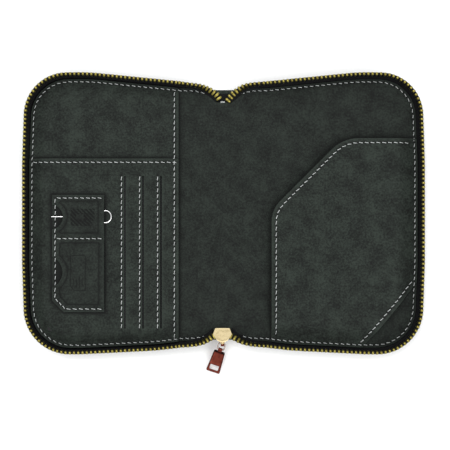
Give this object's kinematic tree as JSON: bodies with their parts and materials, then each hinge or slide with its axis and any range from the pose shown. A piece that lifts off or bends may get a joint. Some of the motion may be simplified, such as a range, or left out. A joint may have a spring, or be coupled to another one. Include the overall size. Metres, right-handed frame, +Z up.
{
  "type": "passport holder wallet",
  "caption": "Zip-around passport wallet lying open: boarded leather halves on a folding spine, passport, cash, ticket, card and SIM pockets, zip chain with slider and pull.",
  "frame": {"origin": "middle of the spine on the outer face of the cover, which is the surface that the open wallet lies on", "axes": "wallet open and face up: +X towards the passport half, +Y towards the top edge, +Z up out of the open pages"},
  "size_m": [0.2278, 0.1717, 0.0122],
  "materials": {
    "outer_leather": "matt nubuck-like leatherette, charcoal with a green cast",
    "lining_leather": "matt nubuck-like leatherette, charcoal with a green cast",
    "pocket_leather": "matt nubuck-like leatherette with turned edges",
    "pocket_fabric": "thin black lining cloth",
    "stiffener": "grey pressed board",
    "interlining": "flexible interlining felt",
    "zip_tape": "black woven polyester tape",
    "zip_brass": "bright yellow brass",
    "slider_gold": "pale satin gold plating",
    "pull_copper": "dark copper-red metallic",
    "link_nickel": "nickel plated wire",
    "pin_steel": "plain steel wire",
    "thread": "light grey twisted sewing thread"
  },
  "bodies": {
    "right_cover": {"outer_cover_right": "outer_leather", "board_right": "stiffener", "lining_right": "lining_leather", "passport_pocket": "pocket_leather", "zipper_tape_right": "zip_tape", "zipper_teeth_right": "zip_brass", "stitching_border_right": "thread", "stitching_passport_pocket": "thread"},
    "spine": {"outer_cover_spine": "outer_leather", "spine_interlining": "interlining", "lining_spine": "lining_leather", "zipper_tape_top_end": "zip_tape", "zipper_teeth_top_end": "zip_brass", "bar_tack": "thread", "zipper_tape_bottom_end": "zip_tape", "zipper_teeth_bottom_end": "zip_brass"},
    "left_cover": {"outer_cover_left": "outer_leather", "board_left": "stiffener", "lining_left": "lining_leather", "cash_pocket": "pocket_leather", "ticket_pocket": "pocket_leather", "card_pocket_1": "pocket_fabric", "card_pocket_2": "pocket_fabric", "card_pocket_3": "pocket_fabric", "sim_card_patch": "pocket_leather", "zipper_tape_left": "zip_tape", "zipper_teeth_left": "zip_brass", "stitching_border_left": "thread", "stitching_cash_pocket": "thread", "stitching_ticket_pocket": "thread", "stitching_card_slots": "thread", "stitching_sim_patch": "thread"},
    "slider": {"slider_body": "slider_gold", "slider_crown": "pull_copper"},
    "link": {"pull_link": "link_nickel"},
    "pull": {"pull_tab": "pull_copper"},
    "pin": {"sim_pin": "pin_steel"}
  },
  "joints": [
    {"name": "spine_fold", "type": "hinge", "parent": "right_cover", "child": "spine", "pos_m": [0.0095, 0, 0.00275], "axis": [0, 1, 0], "range_deg": [0, 90], "deforming": ["zipper_tape_top_end", "zipper_teeth_top_end", "zipper_tape_bottom_end", "zipper_teeth_bottom_end"]},
    {"name": "cover_fold", "type": "hinge", "parent": "spine", "child": "left_cover", "pos_m": [-0.0095, 0, 0.00275], "axis": [0, 1, 0], "range_deg": [0, 90], "deforming": ["zipper_tape_top_end", "zipper_teeth_top_end", "zipper_tape_bottom_end", "zipper_teeth_bottom_end"]},
    {"name": "slider_travel", "type": "slide", "parent": "spine", "child": "slider", "axis": [0, -0.788, 0.6157], "range_m": [0, 0.004]},
    {"name": "link_swing", "type": "hinge", "parent": "slider", "child": "link", "pos_m": [-0.0006, -0.074, 0.00695], "axis": [-0.9478, 0.319, 0], "range_deg": [-30, 45]},
    {"name": "pull_swing", "type": "hinge", "parent": "link", "child": "pull", "pos_m": [-0.0018, -0.07756, 0.00588], "axis": [-0.9478, 0.319, 0], "range_deg": [-45, 45]},
    {"name": "pin_slide", "type": "slide", "parent": "left_cover", "child": "pin", "axis": [1, 0, 0], "range_m": [0, 0.03]}
  ],
  "couplings": [
    {"joint": "cover_fold", "follows": "spine_fold", "ratio": 1}
  ]
}
